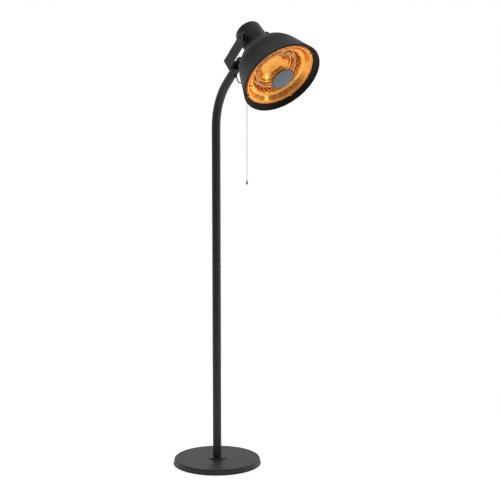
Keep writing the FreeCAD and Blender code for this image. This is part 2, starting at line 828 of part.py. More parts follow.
def terminalBracket():
    plate = block((-2 * blockHalf, blockLow - 4, blockS),
                  (2 * blockHalf, blockHigh + 4, blockS + bracketThick))
    return plate.common(cyl(drumInside - slip, 40, (0, 0, blockS - 10)))


keep("terminal_bracket", onHead(terminalBracket()))
keep("terminal_block", onHead(block(
    (-blockHalf, blockLow, blockS - blockDepth), (blockHalf, blockHigh, blockS))))


def lampLead(x):
    inner = 9.0 if x > 0 else -9.0
    side = x * 0.9
    route = [(x, grooveR - 2, lampS - lampEndR + 0.2), (x, grooveR - 2, lampS - 40), (side, 62, 108),
             (inner, 24, 82), (inner, 12, 62), (inner, 9, 44), (inner, 9.5, 27), (inner, 18, 13),
             (inner, 30, 13.5), (inner, 34, 23), (inner, 34.5, blockS - blockDepth)]
    return hose(route, leadR)


keep("lamp_leads", [onHead(lampLead(x)) for x in leadX])

# ---- pull switch: slides along the head's downward radius ----
width, height, depth = switchSize
switchLow = -drumInside + 5.0
chamberR = 4.5
chamberLow = switchLow + 4
headTop = switchLow + height - 2
linkHead = 2.0


def switchBody():
    body = block((-width / 2, switchLow, switchS - depth / 2),
                 (width / 2, switchLow + height, switchS + depth / 2))
    body = body.cut(cyl(chamberR, headTop - chamberLow, (0, chamberLow, switchS), (0, 1, 0)))
    return body.cut(cyl(rodR + running, height, (0, switchLow - 1, switchS), (0, 1, 0)))


def switchBracket():
    # strap from the switch's foot down to the drum's wall
    strap = block((-width / 2, -drumR, switchS - depth / 2), (width / 2, switchLow, switchS + depth / 2))
    strap = strap.common(cyl(drumInside, 100, (0, 0, -60)))
    return strap.cut(cyl(eyeletR + 0.5, 20, (0, -drumR, switchS), (0, 1, 0)))


def eyelet():
    outer = -drumR - eyeletLip
    body = cyl(eyeletR, 2.3, (0, outer, switchS), (0, 1, 0))
    body = body.fuse(cyl(eyeletR - 2 - slip, 7, (0, outer, switchS), (0, 1, 0)))
    return body.cut(cyl(rodR + running, 12, (0, outer - 1, switchS), (0, 1, 0)))


rodEnd = -drumR - eyeletLip - rodBelow
hangUp = rodEnd - 2 * ringR - ringWire / 2


def link():
    body = cyl(chamberR - gap, linkHead, (0, headTop - linkHead - gap, switchS), (0, 1, 0))
    body = body.fuse(cyl(rodR, headTop - gap - rodEnd, (0, rodEnd, switchS), (0, 1, 0)))
    # stirrup: cross-bar at the rod's end, two legs, and the straight bar that the cord's ring hangs on
    for x in (-ringR, ringR):
        body = body.fuse(cyl(ringWire, rodEnd - hangUp, (x, hangUp, switchS), (0, 1, 0)))
        for up in (hangUp, rodEnd):
            body = body.fuse(Part.makeSphere(ringWire, V(x, up, switchS)))
    for up in (hangUp, rodEnd):
        body = body.fuse(cyl(ringWire, 2 * ringR, (-ringR, up, switchS), (1, 0, 0)))
    return body


keep("pull_switch", onHead(switchBody()))
keep("switch_bracket", onHead(switchBracket()))
keep("cord_eyelet", onHead(eyelet()))
keep("switch_link", onHead(link()))
keep("switch_spring", onHead(tube(chamberR - gap, rodR + gap, headTop - 2 * gap - linkHead - chamberLow,
                                  (0, chamberLow, switchS), (0, 1, 0))))

# ---- pull cord: hangs plumb from the link's ring ----
hang = headPoint(0, hangUp, switchS)
loopZ = hang.z - 1.4
cordTop = loopZ - ringR
keep("cord_ring", Part.makeTorus(ringR, ringWire, V(0, hang.y, loopZ), V(1, 0, 0)))
keep("pull_cord", cyl(cordR, cordTop - bellTop, (0, hang.y, bellTop)))


def bell():
    foot = bellTop - bellHeight
    body = spin((0, bellTop), (1.8, bellTop), ((3.0, bellTop - 4), (3.2, bellTop - 7)),
                ((3.7, bellTop - 12), (bellR, foot + 1.5)), (bellR, foot), (0, foot))
    body.translate(V(0, hang.y, 0))
    return body


keep("pull_bell", bell())

# ---- short cable from the neck to the head ----
headGlandSeat = math.sqrt(drumR ** 2 - (headGlandX - glandNutR) ** 2) + slip
keep("head_gland", onHead(gland((headGlandX, -headGlandSeat, headGlandS), (0, -1, 0)).fuse(
    cyl(glandR - slip, 7, (headGlandX, -headGlandSeat, headGlandS), (0, 1, 0)))))
neckMouth = neckPoint(0, -poleR - glandLength, glandAlong)
neckExit = neckPoint(0, -poleR - glandLength - 11, glandAlong)
headMouth = headPoint(headGlandX, -headGlandSeat - glandLength, headGlandS)
headExit = headPoint(headGlandX, -headGlandSeat - glandLength - 14, headGlandS)
loopRoute = [(1, -160, 1700), (6, -171, 1695), (12, -182, 1702), (17, -186, 1718),
             (23, -193, 1737), (28, -206, 1757), (26, -222, 1781)]
jumperRoute = [tuple(neckMouth), tuple(neckExit)] + loopRoute + [tuple(headExit), tuple(headMouth)]
keep("jumper_cable", hose(jumperRoute, cableR))

print("pivot", pivot, "hang", hang, "domeC", domeC, "seatS", seatS)
print("neck mouth", neckMouth, "head mouth", headMouth, "head exit", headExit)
print("cord", round(cordTop - bellTop), "head frame", headOrigin)
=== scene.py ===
import bpy
import bmesh
import json
import math
import numpy as np
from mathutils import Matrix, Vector


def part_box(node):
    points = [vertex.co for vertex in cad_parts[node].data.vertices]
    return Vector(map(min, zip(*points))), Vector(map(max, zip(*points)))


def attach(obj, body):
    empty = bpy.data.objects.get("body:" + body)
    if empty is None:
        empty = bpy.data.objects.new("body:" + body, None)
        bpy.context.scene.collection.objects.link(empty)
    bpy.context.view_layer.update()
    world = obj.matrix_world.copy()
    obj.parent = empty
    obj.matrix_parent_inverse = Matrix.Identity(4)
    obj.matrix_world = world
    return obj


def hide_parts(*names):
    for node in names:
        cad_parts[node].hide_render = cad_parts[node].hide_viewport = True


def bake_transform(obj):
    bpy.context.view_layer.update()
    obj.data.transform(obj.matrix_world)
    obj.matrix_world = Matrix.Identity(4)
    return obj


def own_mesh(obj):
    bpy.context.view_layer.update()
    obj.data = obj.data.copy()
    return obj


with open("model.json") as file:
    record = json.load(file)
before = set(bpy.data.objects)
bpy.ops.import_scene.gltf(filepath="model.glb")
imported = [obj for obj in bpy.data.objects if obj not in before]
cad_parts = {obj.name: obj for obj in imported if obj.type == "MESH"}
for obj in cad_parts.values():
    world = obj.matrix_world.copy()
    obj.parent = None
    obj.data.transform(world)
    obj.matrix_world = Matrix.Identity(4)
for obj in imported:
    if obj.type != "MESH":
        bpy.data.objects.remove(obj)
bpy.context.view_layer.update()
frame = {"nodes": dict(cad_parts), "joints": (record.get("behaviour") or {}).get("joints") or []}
nodes = frame["nodes"]
joints = {j["name"]: j for j in frame["joints"]}
print("frame loaded, parts:", len(nodes))

# the head's own frame: x across, y up across the shade's axis, z out along it
headSet = dict(down=38.5, drop=0.012)
turn = math.radians(90 + headSet["down"])
headUp = np.array([0, math.cos(turn), math.sin(turn)])
headOut = np.array([0, -math.sin(turn), math.cos(turn)])
headOrigin = np.array(joints["head_tilt"]["pos_m"]) - headUp * headSet["drop"]


def onHead(p):
    # from the head's frame to the row frame
    return headOrigin + p[..., :1] * np.array([1.0, 0, 0]) + p[..., 1:2] * headUp + p[..., 2:] * headOut


def upright(x, y, z=0.0):
    # gives a function that stands a shape turned about Z at that place
    return lambda p: p + np.array([x, y, z])


# where the camera stands: azimuth and pitch in degrees, place in metres, lens in mm
cameraSet = dict(azimuth=-36.74, pitch=8.51, place=(-3.6027, -5.0721, 1.8949), lens=103.28)


def makeCamera():
    a, t = math.radians(cameraSet["azimuth"]), math.radians(cameraSet["pitch"])
    look = Vector((-math.sin(a) * math.cos(t), math.cos(a) * math.cos(t), -math.sin(t)))
    data = bpy.data.cameras.new("camera")
    data.lens = cameraSet["lens"]
    data.sensor_width = 36.0
    camera = bpy.data.objects.new("camera", data)
    camera.location = cameraSet["place"]
    camera.rotation_mode = "QUATERNION"
    camera.rotation_quaternion = look.to_track_quat("-Z", "Y")
    bpy.context.scene.collection.objects.link(camera)
    bpy.context.scene.camera = camera


makeCamera()
bpy.context.scene.view_settings.view_transform = "Standard"


class Num:
    # wraps a number socket, so that sums on it add Math nodes
    def __init__(self, paint, socket):
        self.paint, self.socket = paint, socket

    def math(self, kind, *values):
        return self.paint.node("ShaderNodeMath", {"operation": kind}, dict(enumerate(values)))

    def __add__(self, other):
        return self.math("ADD", self, other)

    def __radd__(self, other):
        return self.math("ADD", other, self)

    def __sub__(self, other):
        return self.math("SUBTRACT", self, other)

    def __rsub__(self, other):
        return self.math("SUBTRACT", other, self)

    def __mul__(self, other):
        return self.math("MULTIPLY", self, other)

    def __rmul__(self, other):
        return self.math("MULTIPLY", other, self)

    def __truediv__(self, other):
        return self.math("DIVIDE", self, other)

    def __pow__(self, other):
        return self.math("POWER", self, other)

    def sin(self):
        return self.math("SINE", self)

    def step(self, low, high):
        # 0 below low, 1 above high, smooth between
        return self.paint.node("ShaderNodeMapRange", {"interpolation_type": "SMOOTHSTEP"},
                               {"Value": self, "From Min": low, "From Max": high})


class Paint:
    def __init__(self, name, world=False):
        self.material = (bpy.data.worlds if world else bpy.data.materials).new(name)
        self.material.use_nodes = True
        self.tree = self.material.node_tree
        self.tree.nodes.clear()
        self.kind = "ShaderNodeOutputWorld" if world else "ShaderNodeOutputMaterial"

    def node(self, kind, settings=None, values=None, out=0):
        made = self.tree.nodes.new(kind)
        for key, value in (settings or {}).items():
            if key == "stops":
                ramp = made.color_ramp
                while len(ramp.elements) < len(value):
                    ramp.elements.new(0.5)
                for element, (place, colour) in zip(ramp.elements, value):
                    element.position = place
                    element.color = (*colour, 1)
            else:
                setattr(made, key, value)
        for key, value in (values or {}).items():
            if isinstance(value, Num):
                self.tree.links.new(value.socket, made.inputs[key])
            else:
                made.inputs[key].default_value = value
        return Num(self, made.outputs[out])

    def place(self):
        return self.node("ShaderNodeTexCoord", out="Object")

    def inHead(self):
        # object coordinates turned into the head's frame
        return self.node("ShaderNodeMapping", {"vector_type": "TEXTURE"}, {
            "Vector": self.place(), "Location": tuple(headOrigin), "Rotation": (turn, 0, 0)})

    def split(self, vector):
        parts = self.node("ShaderNodeSeparateXYZ", {}, {"Vector": vector})
        outputs = parts.socket.node.outputs
        return [Num(self, outputs[i]) for i in range(3)]

    def noise(self, vector, scale, detail=2.0, rough=0.5):
        return self.node("ShaderNodeTexNoise", {}, {
            "Vector": vector, "Scale": scale, "Detail": detail, "Roughness": rough}, "Fac")

    def mix(self, share, first, second):
        def colour(c):
            return c if isinstance(c, Num) else (*c, 1)
        return self.node("ShaderNodeMix", {"data_type": "RGBA"}, {
            0: share, 6: colour(first), 7: colour(second)}, 2)

    def bump(self, height, depth, strength=1.0):
        return self.node("ShaderNodeBump", {}, {"Strength": strength, "Distance": depth, "Height": height})

    def principled(self, values):
        fixed = {k: ((*v, 1) if isinstance(v, tuple) and len(v) == 3 else v) for k, v in values.items()}
        return self.node("ShaderNodeBsdfPrincipled", {}, fixed)

    def finish(self, shader):
        output = self.tree.nodes.new(self.kind)
        self.tree.links.new(shader.socket, output.inputs["Surface"])
        return self.material


# brightness of the surroundings: in front of and behind the heater, added overhead, near the ground, from a
# panel on the right and from a weak glow on the left
skySet = dict(front=0.13, behind=0.9, top=0.2, ground=0.65, panel=1.0, glow=0.3)
# where each of them comes in: how much of a ray's direction points that way, from none of it to all of it
bandSet = dict(away=(-0.15, 0.5), up=(0.55, 1.0), down=(0.35, 0.8), right=(0.45, 0.75), left=(0.3, 0.8),
               panelFoot=(-0.7, -0.3), panelHead=(0.0, 0.3), panelTop=0.25, glowHead=(0.0, 0.4), glowTop=0.2)
lampsSet = dict(
    key=dict(place=(-4.2, -1.6, 3.4), aim=(0, -0.3, 1.3), width=1.4, height=2.6, power=22),
    side=dict(place=(2.6, -3.6, 2.4), aim=(0, -0.3, 1.4), width=0.5, height=2.4, power=16),
    top=dict(place=(-0.6, 1.2, 4.6), aim=(0, 0, 1.0), width=2.4, height=1.6, power=9),
    low=dict(place=(-1.2, -4.2, 0.5), aim=(0, -0.4, 1.7), width=1.6, height=0.5, power=8))


def makeWorld():
    # white for the camera; for other rays bright behind the heater and dark in front of it
    sky = Paint("studio", world=True)
    k, band = skySet, bandSet
    x, y, z = sky.split(sky.node("ShaderNodeTexCoord", out="Generated"))
    a = math.radians(cameraSet["azimuth"])
    away = x * -math.sin(a) + y * math.cos(a)
    aside = x * math.cos(a) + y * math.sin(a)
    level = away.step(*band["away"]) * (k["behind"] - k["front"]) + k["front"]
    level = level + z.step(*band["up"]) * k["top"] + (z * -1.0).step(*band["down"]) * k["ground"]
    panel = aside.step(*band["right"]) * z.step(*band["panelFoot"])
    panel = panel * (band["panelTop"] - z).step(*band["panelHead"])
    glow = (aside * -1.0).step(*band["left"]) * (band["glowTop"] - z).step(*band["glowHead"])
    level = level + panel * k["panel"] + glow * k["glow"]
    grey = sky.mix(level * 0.5, (0.0, 0.0, 0.0), (2.0, 2.0, 2.0))
    seen = sky.node("ShaderNodeLightPath", out="Is Camera Ray")
    bpy.context.scene.world = sky.finish(sky.node("ShaderNodeBackground", {}, {
        "Color": sky.mix(seen, grey, (1.0, 1.0, 1.0))}))


def makeLamps():
    for name, k in lampsSet.items():
        data = bpy.data.lights.new(name, "AREA")
        data.shape = "RECTANGLE"
        data.size, data.size_y, data.energy = k["width"], k["height"], k["power"]
        light = bpy.data.objects.new(name, data)
        light.location = k["place"]
        light.rotation_mode = "QUATERNION"
        light.rotation_quaternion = (Vector(k["aim"]) - Vector(k["place"])).to_track_quat("-Z", "Y")
        light.visible_camera = False
        bpy.context.scene.collection.objects.link(light)


floorSet = dict(half=1.6, tone=(0.82, 0.82, 0.82), glow=0.62)


def makeFloor():
    # plain pale floor under the heater
    k = floorSet
    pale = Paint("paleFloor")
    material = pale.finish(pale.principled({
        "Base Color": k["tone"], "Roughness": 0.9, "Emission Color": (1.0, 1.0, 1.0),
        "Emission Strength": k["glow"]}))
    mesh = bpy.data.meshes.new("floor")
    half = k["half"]
    corners = [(-half, -half, 0), (half, -half, 0), (half, half, 0), (-half, half, 0)]
    mesh.from_pydata(corners, [], [(0, 1, 2, 3)])
    mesh.materials.append(material)
    floor = bpy.data.objects.new("floor", mesh)
    bpy.context.scene.collection.objects.link(floor)


makeWorld()
makeLamps()
makeFloor()
print("camera, lights and floor made")


# tone of each powder coat, depth of its grain, roughness and strength of its gloss
coatSet = dict(
    powderCoat=dict(tone=(0.018, 0.018, 0.019), grain=1.0, gloss=0.46, level=0.34),
    # the shade's coat is the same black powder coat as the pole, given a darker tone; the extra darkness is
    # painted shade
    shadeCoatWithPaintedShade=dict(tone=(0.007, 0.007, 0.0075), grain=0.7, gloss=0.5, level=0.13),
    basePowderCoat=dict(tone=(0.021, 0.019, 0.017), grain=0.8, gloss=0.5, level=0.35),
    # the lip coat is black paint with a brown tint; the tint is painted reflection of the orange gold dish
    # beside it
    lipCoatWithPaintedReflection=dict(tone=(0.013, 0.006, 0.002), grain=0.6, gloss=0.42, level=0.2))
# here and in the other finishes' dictionaries: scale of each noise, and depth of the relief in metres
grainSet = dict(peel=260.0, grains=1500.0, cloud=9.0, dark=0.86, light=1.18, fleck=2.2, depth=0.00012)


def powderCoat(name):
    # fine matt powder coat: orange peel, small grains, slight cloudiness
    paint, k, g = Paint(name), coatSet[name], grainSet
    tone = k["tone"]
    co = paint.place()
    peel = paint.noise(co, g["peel"], 2.0)
    grains = paint.noise(co, g["grains"], 3.0)
    cloud = paint.noise(co, g["cloud"], 3.0)
    dark, light, fleck = (tuple(c * g[shade] for c in tone) for shade in ("dark", "light", "fleck"))
    colour = paint.mix(cloud.step(0.3, 0.7), dark, light)
    colour = paint.mix(grains.step(0.62, 0.8) * 0.35, colour, fleck)
    height = peel * 0.6 + grains * 0.4
    return paint.finish(paint.principled({
        "Base Color": colour, "Roughness": k["gloss"] + (cloud - 0.5) * 0.1 + (grains - 0.5) * 0.08,
        "Specular IOR Level": k["level"], "Normal": paint.bump(height, g["depth"] * k["grain"], 0.6)}))


ironSet = dict(tones=((0.06, 0.06, 0.062), (0.13, 0.125, 0.12)), pits=420.0, cloud=30.0, metal=0.6,
               rough=0.62, depth=0.0005)


def castIron(name):
    # coarse pits and cloudy tone
    paint, k = Paint(name), ironSet
    co = paint.place()
    pits = paint.noise(co, k["pits"], 4.0, 0.65)
    colour = paint.mix(paint.noise(co, k["cloud"], 4.0), *k["tones"])
    return paint.finish(paint.principled({
        "Base Color": colour, "Metallic": k["metal"], "Roughness": k["rough"] + pits * 0.2,
        "Normal": paint.bump(pits, k["depth"], 0.8)}))


# how far the streaks are drawn out along Z, and how much darker the stains are
plateSet = dict(stretch=0.08, streaks=1800.0, stain=60.0, dull=0.8, depth=0.00004)


def platedSteel(name, tone=(0.62, 0.61, 0.58), rough=0.28):
    # plated or blacked steel: fine upright streaks and faint stains
    paint, k = Paint(name), plateSet
    co = paint.place()
    stretch = paint.node("ShaderNodeMapping", {}, {"Vector": co, "Scale": (1.0, 1.0, k["stretch"])})
    streaks = paint.noise(stretch, k["streaks"], 2.0)
    stain = paint.noise(co, k["stain"], 3.0)
    colour = paint.mix(stain.step(0.35, 0.75), tone, tuple(c * k["dull"] for c in tone))
    return paint.finish(paint.principled({
        "Base Color": colour, "Metallic": 1.0, "Roughness": rough + (streaks - 0.5) * 0.16 + stain * 0.05,
        "Normal": paint.bump(streaks, k["depth"], 0.5)}))


bloomSet = dict(cloud=24.0, pale=1.35, lift=0.002)


def moulded(name, tone, rough=0.5, texture=900.0, depth=0.00006):
    # rubber or moulded plastic: spark texture and slight bloom
    paint, k = Paint(name), bloomSet
    co = paint.place()
    spark = paint.noise(co, texture, 3.0, 0.6)
    bloom = paint.noise(co, k["cloud"], 3.0)
    colour = paint.mix(bloom.step(0.3, 0.8), tone, tuple(c * k["pale"] + k["lift"] for c in tone))
    return paint.finish(paint.principled({
        "Base Color": colour, "Roughness": rough + (spark - 0.5) * 0.2,
        "Specular IOR Level": 0.4, "Normal": paint.bump(spark, depth, 0.7)}))


# two tones in smears and a redder one near the rim, the red being painted reflection of light bounced twice
# in the dish; pitch of the spinning rings; roughness
goldSet = dict(tones=((0.98, 0.42, 0.075), (1.0, 0.49, 0.12)), rimTone=(0.96, 0.36, 0.05),
               rimFrom=0.125, rimTo=0.158, ringPitch=0.0021, smear=38.0, fine=900.0, rough=0.16,
               depth=0.000012)


def spunGold(name):
    # polished anodised sheet: spinning rings round the head's axis, a redder tone towards the rim that is
    # painted reflection, faint smears
    paint, k = Paint(name), goldSet
    x, y = paint.split(paint.inHead())[:2]
    radius = (x * x + y * y) ** 0.5
    rings = (radius * (2 * math.pi / k["ringPitch"])).sin()
    co = paint.place()
    smear = paint.noise(co, k["smear"], 4.0, 0.6)
    fine = paint.noise(co, k["fine"], 2.0)
    colour = paint.mix(smear.step(0.3, 0.75), *k["tones"])
    # redder towards the rim: painted reflection, the deeper colour of light that bounces twice inside the
    # dish
    colour = paint.mix(radius.step(k["rimFrom"], k["rimTo"]) * 0.5, colour, k["rimTone"])
    height = rings * 0.5 + fine * 0.12
    return paint.finish(paint.principled({
        "Base Color": colour, "Metallic": 1.0, "Roughness": k["rough"] + smear * 0.1,
        "Normal": paint.bump(height, k["depth"], 0.5)}))


brassSet = dict(tones=((0.98, 0.44, 0.12), (1.0, 0.54, 0.19)), draw=1200.0, cloud=90.0, rough=0.36,
                depth=0.00003)


def brassWire(name):
    # gold-coloured wire with fine drawing marks
    paint, k = Paint(name), brassSet
    co = paint.place()
    draw = paint.noise(co, k["draw"], 2.0)
    colour = paint.mix(paint.noise(co, k["cloud"]), *k["tones"])
    return paint.finish(paint.principled({
        "Base Color": colour, "Metallic": 1.0, "Roughness": k["rough"] + draw * 0.12,
        "Normal": paint.bump(draw, k["depth"], 0.4)}))


# tones of the lamp's coat, how much of it is solid seen square on, and how much more at the edges
quartzSet = dict(tones=((1.0, 0.60, 0.29), (1.0, 0.72, 0.44)), tint=(1.0, 0.88, 0.7, 1), solid=0.42,
                 edge=0.6, glassIndex=1.46, streak=160.0, metal=0.55, rough=0.22)


def coatedQuartz(name):
    # thin wall with a pale gold coat: part see-through, part glossy, more so towards the edges
    paint, k = Paint(name), quartzSet
    edge = paint.node("ShaderNodeFresnel", {}, {"IOR": k["glassIndex"]})
    streak = paint.noise(paint.place(), k["streak"], 2.0)
    tone = paint.mix(streak.step(0.3, 0.8), *k["tones"])
    coated = paint.principled({
        "Base Color": tone, "Metallic": k["metal"], "Roughness": k["rough"] + streak * 0.1,
        "Coat Weight": 0.6, "Coat Roughness": 0.05})
    clear = paint.node("ShaderNodeBsdfTransparent", {}, {"Color": k["tint"]}, "BSDF")
    blend = paint.node("ShaderNodeMixShader", {}, {0: edge * k["edge"] + k["solid"], 1: clear, 2: coated})
    return paint.finish(blend)


ceramicSet = dict(tones=((0.66, 0.56, 0.42), (0.54, 0.45, 0.33)), speck=500.0, rough=0.55, depth=0.00008)


def ceramicGlaze(name):
    # dull cream body with darker specks
    paint, k = Paint(name), ceramicSet
    speck = paint.noise(paint.place(), k["speck"], 4.0)
    colour = paint.mix(speck.step(0.5, 0.8), *k["tones"])
    return paint.finish(paint.principled({
        "Base Color": colour, "Roughness": k["rough"] + speck * 0.15,
        "Normal": paint.bump(speck, k["depth"], 0.5)}))


# two tones of the cap's face, the dark edge round it and where that edge starts and ends
enamelSet = dict(tones=((0.105, 0.115, 0.133), (0.140, 0.152, 0.175)), rimTone=(0.012, 0.012, 0.013),
                 rimFrom=0.0468, rimTo=0.0482, grain=1300.0, cloud=30.0, rough=0.42, depth=0.00005)


def capEnamel(name):
    paint, k = Paint(name), enamelSet
    x, y = paint.split(paint.inHead())[:2]
    radius = (x * x + y * y) ** 0.5
    co = paint.place()
    grain = paint.noise(co, k["grain"], 3.0)
    cloud = paint.noise(co, k["cloud"], 2.0)
    colour = paint.mix(cloud, *k["tones"])
    colour = paint.mix(radius.step(k["rimFrom"], k["rimTo"]), colour, k["rimTone"])
    return paint.finish(paint.principled({
        "Base Color": colour, "Roughness": k["rough"] + grain * 0.1,
        "Normal": paint.bump(grain, k["depth"], 0.6)}))


# fibres per unit of u and v, how dark the gaps between them are
yarnSet = dict(fibres=(60.0, 14.0, 1.0), dark=0.75, rough=0.7, depth=0.00008)


def nylonYarn(name, tone):
    # fibres along the cord, from its own UV map: u along, v round
    paint, k = Paint(name), yarnSet
    uv = paint.node("ShaderNodeUVMap", {"uv_map": "along"})
    fibre = paint.node("ShaderNodeMapping", {}, {"Vector": uv, "Scale": k["fibres"]})
    hair = paint.noise(fibre, 1.0, 2.0)
    colour = paint.mix(hair, tuple(c * k["dark"] for c in tone), tone)
    return paint.finish(paint.principled({
        "Base Color": colour, "Roughness": k["rough"] + hair * 0.15,
        "Normal": paint.bump(hair, k["depth"], 0.6)}))


jacketSet = dict(tones=((0.010, 0.010, 0.011), (0.020, 0.020, 0.021)), skin=1100.0, waves=70.0, rough=0.42,
                 depth=0.00006)


def cableJacket(name):
    # smooth black rubber: slight waves and a fine skin
    paint, k = Paint(name), jacketSet
    co = paint.place()
    skin = paint.noise(co, k["skin"], 3.0)
    waves = paint.noise(co, k["waves"], 2.0)
    colour = paint.mix(waves, *k["tones"])
    return paint.finish(paint.principled({
        "Base Color": colour, "Roughness": k["rough"] + waves * 0.12,
        "Normal": paint.bump(skin * 0.4 + waves, k["depth"], 0.5)}))


coat = powderCoat("powderCoat")
# darker copy of the black coat for the shade: its darker tone is painted shade
shadeCoatWithPaintedShade = powderCoat("shadeCoatWithPaintedShade")
baseCoat = powderCoat("basePowderCoat")
# black lip coat with a brown tint that is painted reflection of the gold dish
lipCoatWithPaintedReflection = powderCoat("lipCoatWithPaintedReflection")
iron = castIron("castIron")
zinc = platedSteel("zincPlate")
darkSteel = platedSteel("blackedSteel", (0.12, 0.12, 0.12), 0.34)
yellowZinc = platedSteel("yellowZinc", (0.70, 0.40, 0.13), 0.34)
rubber = moulded("rubber", (0.016, 0.016, 0.016), 0.72, 500.0, 0.0001)
plastic = moulded("blackPlastic", (0.018, 0.018, 0.019), 0.42)
paleBoard = moulded("paleInsulator", (0.55, 0.54, 0.5), 0.5, 700.0, 0.00005)
jacket = cableJacket("cableJacket")
gold = spunGold("spunGold")
goldWire = brassWire("goldWire")
quartz = coatedQuartz("quartz")
tungsten = platedSteel("heatingCoil", (0.75, 0.5, 0.3), 0.5)
ceramic = ceramicGlaze("ceramic")
enamel = capEnamel("capEnamel")
yarn = nylonYarn("greyCord", (0.022, 0.022, 0.023))

# each finish and the parts that have it
partsOf = [
    (baseCoat, "base_cover"),
    (iron, "base_weight"),
    (zinc, "base_plate flange_bolts plate_screws knob_stud_right knob_stud_left pivot_boss_right "
           "pivot_boss_left drum_screws reflector_posts cap_backplate cap_screw terminal_bracket "
           "switch_bracket switch_link switch_spring cord_ring"),
    (rubber, "rubber_feet"),
    (coat, "pole_flange lower_tube upper_tube fork fork_collar rear_drum"),
    (plastic, "tip_switch cord_gland cord_gland_nut neck_plug neck_gland knob_right knob_left "
              "friction_washer_right friction_washer_left pull_switch cord_eyelet pull_bell head_gland"),
    (darkSteel, "coupling_sleeve sleeve_screws reflector_screws"),
    (jacket, "supply_cable jumper_cable"),
    (shadeCoatWithPaintedShade, "shade"),
    (lipCoatWithPaintedReflection, "lip_ring"),
    (gold, "reflector"),
    (quartz, "lamp_tube"),
    (tungsten, "lamp_filament"),
    (ceramic, "lamp_ends lamp_leads"),
    (yellowZinc, "lamp_clips guard_clips clip_screws"),
    (goldWire, "guard"),
    (enamel, "centre_cap"),
    (paleBoard, "terminal_block"),
    (yarn, "pull_cord")]
finishOf = {part: finish for finish, parts in partsOf for part in parts.split()}
for name, node in nodes.items():
    node.data.materials.clear()
    node.data.materials.append(finishOf[name])
print("finishes made and given to the parts")


def gridQuads(rows, columns, wrapRows, wrapColumns, first):
    # quads between neighbouring rows and columns of a grid of points, counted from first
    i = np.arange(rows if wrapRows else rows - 1)[:, None]
    j = np.arange(columns if wrapColumns else columns - 1)[None, :]
    below, beside = (i + 1) % rows, (j + 1) % columns
    corners = (i * columns + j, below * columns + j, below * columns + beside, i * columns + beside)
    return np.stack(np.broadcast_arrays(*corners), -1).reshape(-1, 4) + first


def makePiece(name, grids, place, material, body, replaced=(), crease=38.0, uv=None):
    # grids: (points of shape rows x columns x 3, rows wrap, columns wrap); place: function to the row frame
    points, quads, first = [], [], 0
    for grid, wrapRows, wrapColumns in grids:
        rows, columns = grid.shape[:2]
        points.append(place(grid).reshape(-1, 3))
        quads.append(gridQuads(rows, columns, wrapRows, wrapColumns, first))
        first += rows * columns
    mesh = bpy.data.meshes.new(name)
    mesh.from_pydata(np.concatenate(points).tolist(), [], np.concatenate(quads).tolist())
    if uv is None:
        work = bmesh.new()
        work.from_mesh(mesh)
        bmesh.ops.remove_doubles(work, verts=work.verts, dist=2e-6)
        bmesh.ops.dissolve_degenerate(work, edges=work.edges, dist=1e-7)
        bmesh.ops.recalc_face_normals(work, faces=work.faces)
        work.to_mesh(mesh)
        work.free()
    else:
        corner = np.empty(len(mesh.loops), np.int32)
        mesh.loops.foreach_get("vertex_index", corner)
        mesh.uv_layers.new(name="along").data.foreach_set("uv", uv[corner].astype(np.float32).ravel())
    mesh.shade_smooth()
    mesh.set_sharp_from_angle(angle=math.radians(crease))
    mesh.materials.append(material)
    piece = bpy.data.objects.new(name, mesh)
    bpy.context.scene.collection.objects.link(piece)
    if body:
        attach(piece, body)
    if replaced:
        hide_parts(*replaced)
    return piece


def bow(centre, radius, start, end, count):
    # points of an arc (r, s), angles counted from outward
    a = np.radians(np.linspace(start, end, count))
    return np.stack([centre[0] + radius * np.cos(a), centre[1] + radius * np.sin(a)], 1)


def eased(corners, radius, count=5):
    # closed outline through the corners, each one rounded by a quadratic curve of that reach
    p = np.array(corners, float)
    before, after = np.roll(p, 1, 0) - p, np.roll(p, -1, 0) - p
    lengths = np.minimum(np.linalg.norm(before, axis=1), np.linalg.norm(after, axis=1))
    reach = np.minimum(radius, lengths * 0.45)[:, None]
    start = p + before / np.linalg.norm(before, axis=1)[:, None] * reach
    end = p + after / np.linalg.norm(after, axis=1)[:, None] * reach
    t = np.linspace(0, 1, count)[None, :, None]
    curve = (1 - t) ** 2 * start[:, None] + 2 * t * (1 - t) * p[:, None] + t ** 2 * end[:, None]
    return curve.reshape(-1, 2)


def turned(outline, count=192, closed=True):
    # outline (r, s) carried round the axis: x = r cos a, y = r sin a, z = s
    a = np.linspace(0, 2 * math.pi, count, endpoint=False)[:, None]
    r, s = outline[None, :, 0], outline[None, :, 1]
    return np.stack([r * np.cos(a), r * np.sin(a), s + 0 * a], -1), True, closed


def wire(path, sideways, radius, sides=8, closed=False):
    # circle of that radius carried along a path; sideways fixes where the circle starts, so it never twists
    p = np.asarray(path, float)
    tangent = np.roll(p, -1, 0) - np.roll(p, 1, 0) if closed else np.gradient(p, axis=0)
    tangent /= np.linalg.norm(tangent, axis=1)[:, None]
    across = np.cross(tangent, np.broadcast_to(sideways, p.shape))
    across /= np.linalg.norm(across, axis=1)[:, None]
    other = np.cross(tangent, across)
    a = np.linspace(0, 2 * math.pi, sides, endpoint=False)[None, :, None]
    r = np.asarray(radius, float).reshape(-1, 1, 1)
    ring = p[:, None] + r * (np.cos(a) * across[:, None] + np.sin(a) * other[:, None])
    if not closed:
        # both ends close to a point
        ring = np.concatenate([np.repeat(p[:1, None], sides, 1), ring, np.repeat(p[-1:, None], sides, 1)])
    return ring, closed, True


def hoopPath(radius, height, count=160):
    a = np.linspace(0, 2 * math.pi, count, endpoint=False)
    return np.stack([radius * np.cos(a), radius * np.sin(a), np.full(count, height)], 1)


